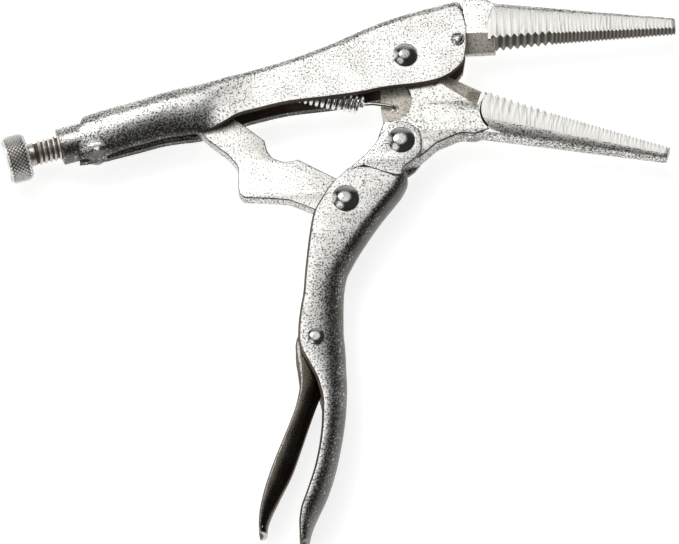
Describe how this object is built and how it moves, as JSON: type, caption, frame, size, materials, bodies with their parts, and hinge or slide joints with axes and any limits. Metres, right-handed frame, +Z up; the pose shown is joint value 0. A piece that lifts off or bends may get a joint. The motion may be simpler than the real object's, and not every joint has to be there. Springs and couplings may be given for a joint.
{
  "type": "locking pliers",
  "caption": "Long-nose locking pliers with an open toggle linkage, toothed tapering jaws, a screw adjuster and a release lever.",
  "frame": {"origin": "centre of the bounding box of the pliers lying on their side, at the height of the surface they lie on", "axes": "+X towards the jaw tips along the fixed jaw, +Y from the movable handle's tail towards the fixed handle, +Z up, along the pivot rivets"},
  "size_m": [0.1678, 0.1446, 0.0126],
  "materials": {
    "handle_steel": "nickel-plated pressed sheet, pebbled satin grain",
    "jaw_steel": "nickel-plated forging, ground side faces, darker teeth",
    "link_steel": "nickel-plated blanked plate, satin grain",
    "lever_steel": "nickel-plated pressed sheet, satin grain",
    "screw_steel": "bright steel thread, lightly oiled",
    "knob_steel": "nickel-plated, diamond knurl",
    "rivet_steel": "nickel-plated, polished dome",
    "spring_steel": "bright spring wire"
  },
  "bodies": {
    "fixed_handle": {"fixed_handle": "handle_steel", "fixed_jaw": "jaw_steel", "jaw_weld_plugs": "rivet_steel", "jaw_pivot_rivet": "rivet_steel", "return_spring": "spring_steel"},
    "movable_jaw": {"movable_jaw": "jaw_steel"},
    "movable_handle": {"movable_handle": "handle_steel", "handle_pivot_rivet": "rivet_steel", "link_pivot_rivet": "rivet_steel", "lever_pivot_rivet": "rivet_steel"},
    "toggle_link": {"toggle_link": "link_steel"},
    "release_lever": {"release_lever": "lever_steel"},
    "adjusting_screw": {"adjusting_screw": "screw_steel"},
    "adjusting_knob": {"adjusting_knob": "knob_steel"}
  },
  "joints": [
    {"name": "jaw_pivot", "type": "hinge", "parent": "fixed_handle", "child": "movable_jaw", "pos_m": [0.01673, 0.05694, 0.0063], "axis": [0, 0, 1], "range_deg": [0, 26.2], "stiffness_Nm_per_rad": 0.4, "springref_deg": -14.32, "deforming": ["return_spring"]},
    {"name": "handle_pivot", "type": "hinge", "parent": "movable_jaw", "child": "movable_handle", "pos_m": [0.01563, 0.03426, 0.0063], "axis": [0, 0, 1], "range_deg": [-82.6, 0]},
    {"name": "link_pivot", "type": "hinge", "parent": "movable_handle", "child": "toggle_link", "pos_m": [0.00178, 0.01888, 0.0063], "axis": [0, 0, 1], "range_deg": [0, 85.6]},
    {"name": "lever_pivot", "type": "hinge", "parent": "movable_handle", "child": "release_lever", "pos_m": [-0.00567, -0.01784, 0.0063], "axis": [0, 0, 1], "range_deg": [0, 8.5]},
    {"name": "screw_travel", "type": "slide", "parent": "fixed_handle", "child": "adjusting_screw", "axis": [-0.9613, -0.2756, 0], "range_m": [0, 0.012]},
    {"name": "knob_turn", "type": "hinge", "parent": "adjusting_screw", "child": "adjusting_knob", "pos_m": [-0.07958, 0.03184, 0.0063], "axis": [-0.9613, -0.2756, 0], "range_deg": [0, 3240]}
  ],
  "couplings": [
    {"joint": "handle_pivot", "follows": "jaw_pivot", "ratio": -3.15},
    {"joint": "link_pivot", "follows": "jaw_pivot", "ratio": 3.265},
    {"joint": "screw_travel", "follows": "knob_turn", "m_per_rad": 0.00020213}
  ]
}
